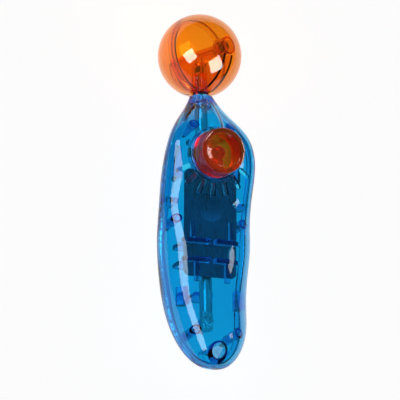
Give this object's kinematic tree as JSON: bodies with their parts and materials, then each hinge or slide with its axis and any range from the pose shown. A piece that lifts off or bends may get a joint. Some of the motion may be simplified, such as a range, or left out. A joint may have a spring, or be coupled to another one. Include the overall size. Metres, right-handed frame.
{
  "type": "clicker trainer",
  "caption": "Hand-held clicker trainer: clear blue curved handle with a dished orange click button, sound slots, lanyard hole and a telescopic target stick with a ball tip.",
  "frame": {"origin": "centre of the bounding box in plan, at the plane that the ball rests on", "axes": "+Z out of the button's side, +Y along the rod towards the ball, +X to the right with the ball pointing away"},
  "size_m": [0.0462, 0.1761, 0.0481],
  "materials": {
    "clear_blue": "clear tinted blue polystyrene, polished mould finish",
    "clear_orange": "clear tinted orange plastic, polished",
    "clear_orange_button": "clear tinted red-orange plastic, polished",
    "spring_steel": "rolled blue-grey spring steel",
    "chrome_tube": "bright plated drawn tube",
    "plated_lug": "satin plated steel",
    "screw_steel": "bright zinc plate",
    "blackened_steel": "blackened steel",
    "sleeve_brass": "thin rolled brass"
  },
  "bodies": {
    "handle": {"front_shell": "clear_blue", "back_shell": "clear_blue", "outer_tube": "chrome_tube", "base_lug": "plated_lug", "base_screw": "screw_steel"},
    "button": {"button": "clear_orange_button"},
    "clicker": {"clicker_plate": "spring_steel"},
    "section_1": {"section_1": "chrome_tube", "friction_sleeve_1": "sleeve_brass"},
    "section_2": {"section_2": "chrome_tube", "friction_sleeve_2": "sleeve_brass"},
    "section_3": {"section_3": "chrome_tube", "friction_sleeve_3": "sleeve_brass"},
    "section_4": {"section_4": "chrome_tube", "friction_sleeve_4": "sleeve_brass"},
    "tip": {"tip_rod": "chrome_tube", "friction_sleeve_5": "sleeve_brass", "tip_head": "blackened_steel"},
    "ball": {"ball_half_front": "clear_orange", "ball_half_back": "clear_orange"}
  },
  "joints": [
    {"name": "button_press", "type": "slide", "parent": "handle", "child": "button", "axis": [0, 0.1392, -0.9903], "range_m": [0, 0.0025], "stiffness_N_per_m": 2000},
    {"name": "clicker_flex", "type": "hinge", "parent": "handle", "child": "clicker", "pos_m": [0, -0.0315, 0.026], "axis": [-1, 0, 0], "range_deg": [0, 3.3]},
    {"name": "section_1_slide", "type": "slide", "parent": "handle", "child": "section_1", "axis": [0, 1, 0], "range_m": [0, 0.087]},
    {"name": "section_2_slide", "type": "slide", "parent": "section_1", "child": "section_2", "axis": [0, 1, 0], "range_m": [0, 0.087]},
    {"name": "section_3_slide", "type": "slide", "parent": "section_2", "child": "section_3", "axis": [0, 1, 0], "range_m": [0, 0.087]},
    {"name": "section_4_slide", "type": "slide", "parent": "section_3", "child": "section_4", "axis": [0, 1, 0], "range_m": [0, 0.087]},
    {"name": "tip_slide", "type": "slide", "parent": "section_4", "child": "tip", "axis": [0, 1, 0], "range_m": [0, 0.087]},
    {"name": "ball_spin", "type": "hinge", "parent": "tip", "child": "ball", "pos_m": [0, 0.068, 0.02], "axis": [0, 1, 0], "continuous": true}
  ],
  "couplings": [
    {"joint": "clicker_flex", "follows": "button_press", "rad_per_m": 21.5}
  ]
}
